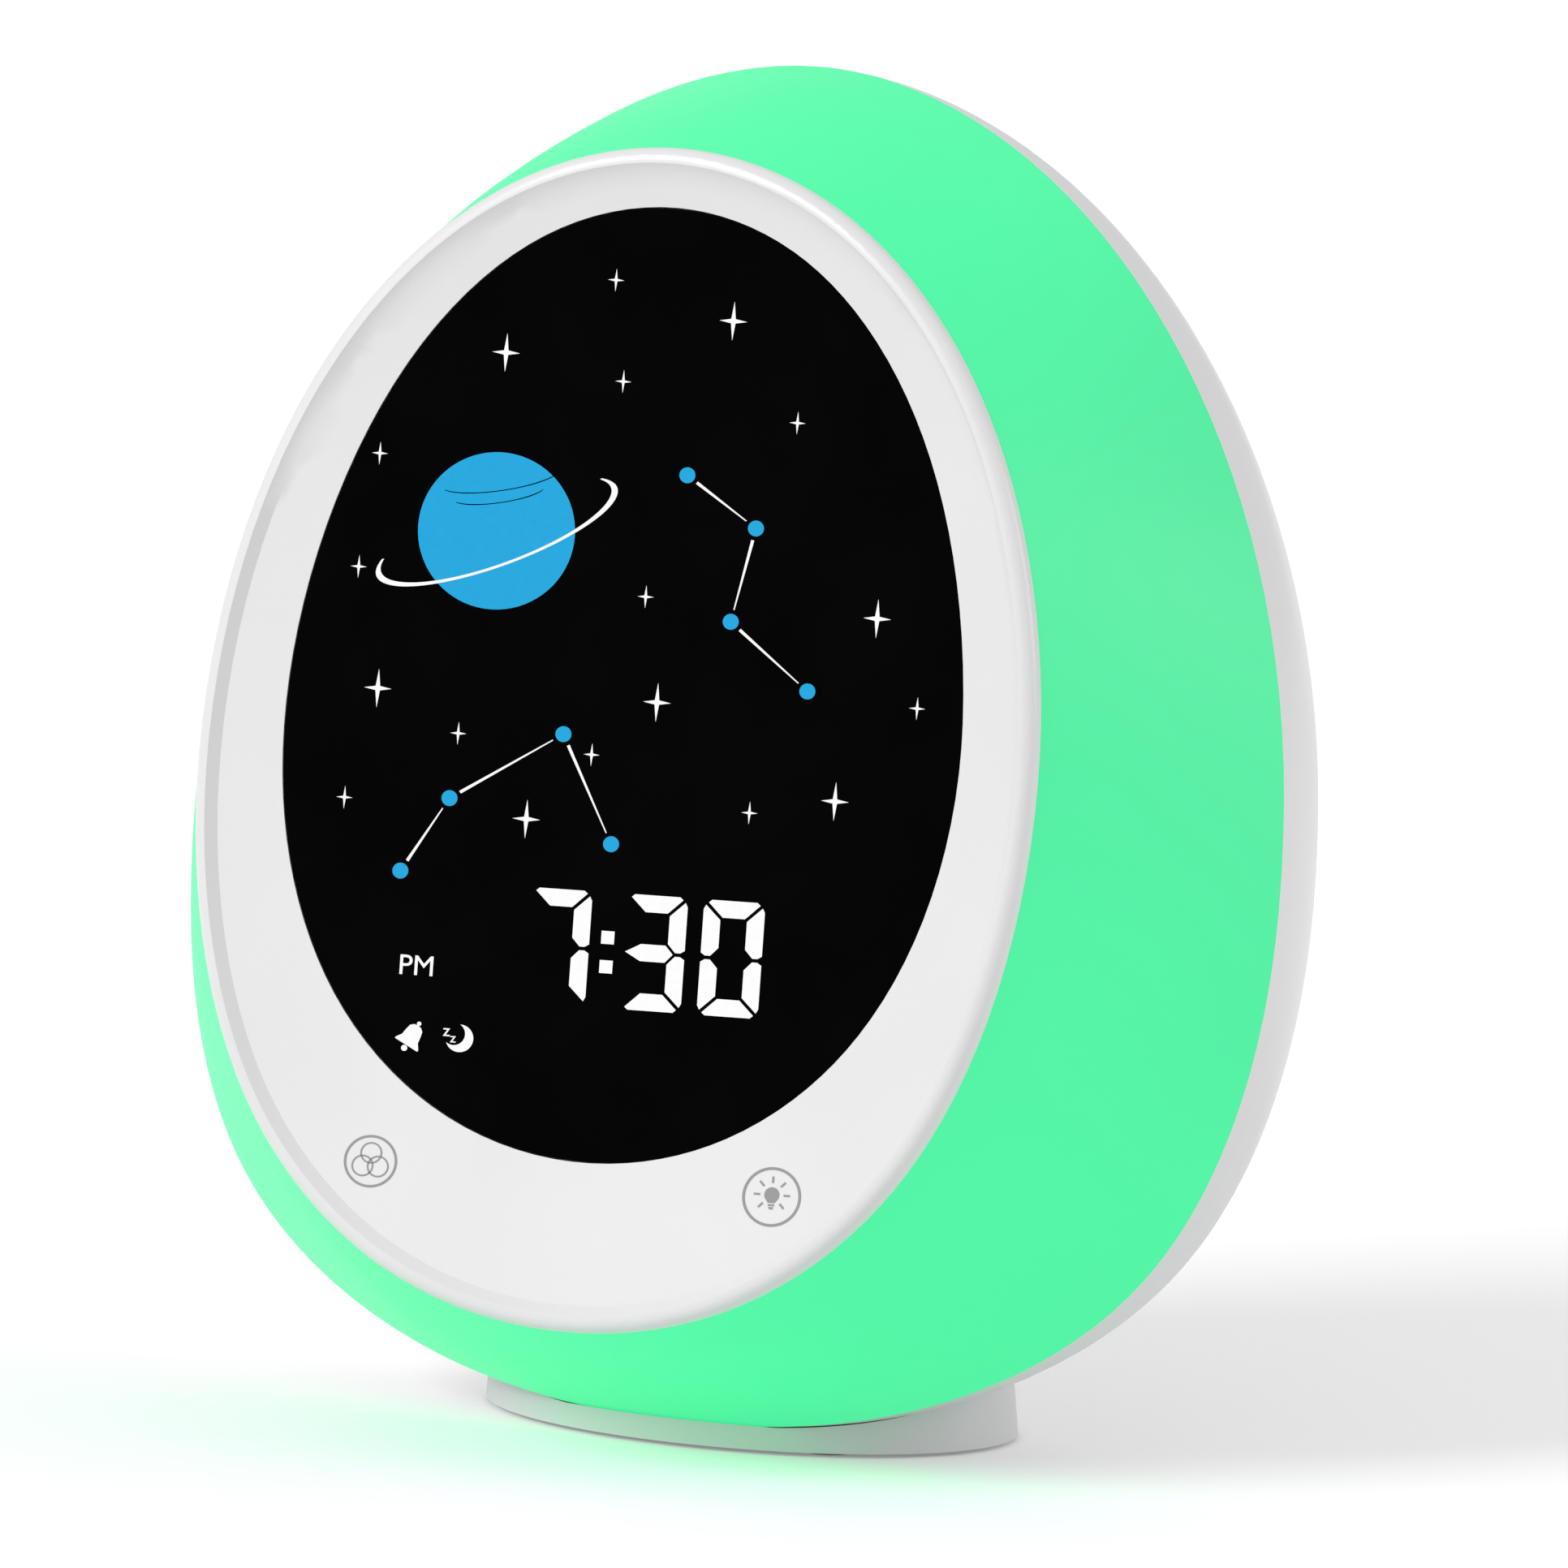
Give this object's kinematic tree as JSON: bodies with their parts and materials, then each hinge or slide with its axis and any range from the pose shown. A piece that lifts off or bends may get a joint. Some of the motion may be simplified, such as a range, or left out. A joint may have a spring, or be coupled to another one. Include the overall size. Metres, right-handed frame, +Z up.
{
  "type": "kids alarm clock with night light",
  "caption": "Egg-shaped bedside alarm clock with a black digital face, a glowing green night-light band, a domed white back with keys and battery door, and a small foot.",
  "frame": {"origin": "middle of the clock seen from above, on the surface that it stands on", "axes": "+Z up, the black face looks towards -Y and leans back, +X to the right of someone who faces the clock"},
  "size_m": [0.1505, 0.0844, 0.1623],
  "materials": {
    "white_shell": "satin",
    "foot_shell": "satin",
    "smoked_lens": "gloss",
    "black_tape": "matte",
    "white_inner": "matte",
    "circuit_board": "satin",
    "white_board": "satin",
    "screw_steel": "satin",
    "copper_foil": "satin",
    "lamp_lens": "gloss",
    "green_diffuser": "satin",
    "black_parts": "matte",
    "ribbon_grey": "satin",
    "speaker_steel": "satin",
    "speaker_paper": "matte",
    "inlet_steel": "satin",
    "contact_steel": "satin",
    "cell_wrap": "gloss",
    "key_grey": "satin",
    "pad_rubber": "matte"
  },
  "bodies": {
    "clock_body": {"base_foot": "foot_shell", "battery_cell_1": "cell_wrap", "battery_cell_2": "cell_wrap", "battery_cell_3": "cell_wrap", "battery_contacts_left": "contact_steel", "battery_contacts_right": "contact_steel", "case_screws": "screw_steel", "diffuser_ring": "green_diffuser", "display_board": "circuit_board", "display_board_screws": "screw_steel", "display_lens": "smoked_lens", "display_ribbon": "ribbon_grey", "foot_pad_1": "pad_rubber", "foot_pad_2": "pad_rubber", "foot_pad_3": "pad_rubber", "foot_pad_4": "pad_rubber", "foot_screws": "screw_steel", "front_bezel": "white_shell", "inlet_board": "circuit_board", "key_board": "circuit_board", "key_board_screws": "screw_steel", "key_switches": "black_parts", "lens_tape": "black_tape", "light_reflector": "white_inner", "light_ring_board": "white_board", "light_ring_lamps": "lamp_lens", "main_board": "circuit_board", "main_board_components": "black_parts", "main_board_screws": "screw_steel", "power_inlet": "inlet_steel", "rear_housing": "white_shell", "segment_box": "white_inner", "speaker_cone": "speaker_paper", "speaker_frame": "speaker_steel", "speaker_magnet": "speaker_steel", "touch_pad_left": "copper_foil", "touch_pad_right": "copper_foil"},
    "battery_door": {"battery_door": "white_shell"},
    "key_mode": {"key_mode": "key_grey"},
    "key_set": {"key_set": "key_grey"},
    "key_down": {"key_down": "key_grey"},
    "key_up": {"key_up": "key_grey"},
    "key_alarm": {"key_alarm": "key_grey"},
    "key_sound": {"key_sound": "key_grey"}
  },
  "joints": [
    {"name": "battery_door_hinge", "type": "hinge", "parent": "clock_body", "child": "battery_door", "pos_m": [0, 0.01718, 0.02811], "axis": [-1, 0, 0], "range_deg": [0, 80]},
    {"name": "key_mode_press", "type": "slide", "parent": "clock_body", "child": "key_mode", "axis": [0, -0.9781, 0.2079], "range_m": [0, 0.0009], "stiffness_N_per_m": 900},
    {"name": "key_set_press", "type": "slide", "parent": "clock_body", "child": "key_set", "axis": [0, -0.9781, 0.2079], "range_m": [0, 0.0009], "stiffness_N_per_m": 900},
    {"name": "key_down_press", "type": "slide", "parent": "clock_body", "child": "key_down", "axis": [0, -0.9781, 0.2079], "range_m": [0, 0.0009], "stiffness_N_per_m": 900},
    {"name": "key_up_press", "type": "slide", "parent": "clock_body", "child": "key_up", "axis": [0, -0.9781, 0.2079], "range_m": [0, 0.0009], "stiffness_N_per_m": 900},
    {"name": "key_alarm_press", "type": "slide", "parent": "clock_body", "child": "key_alarm", "axis": [0, -0.9781, 0.2079], "range_m": [0, 0.0009], "stiffness_N_per_m": 900},
    {"name": "key_sound_press", "type": "slide", "parent": "clock_body", "child": "key_sound", "axis": [0, -0.9781, 0.2079], "range_m": [0, 0.0009], "stiffness_N_per_m": 900}
  ]
}
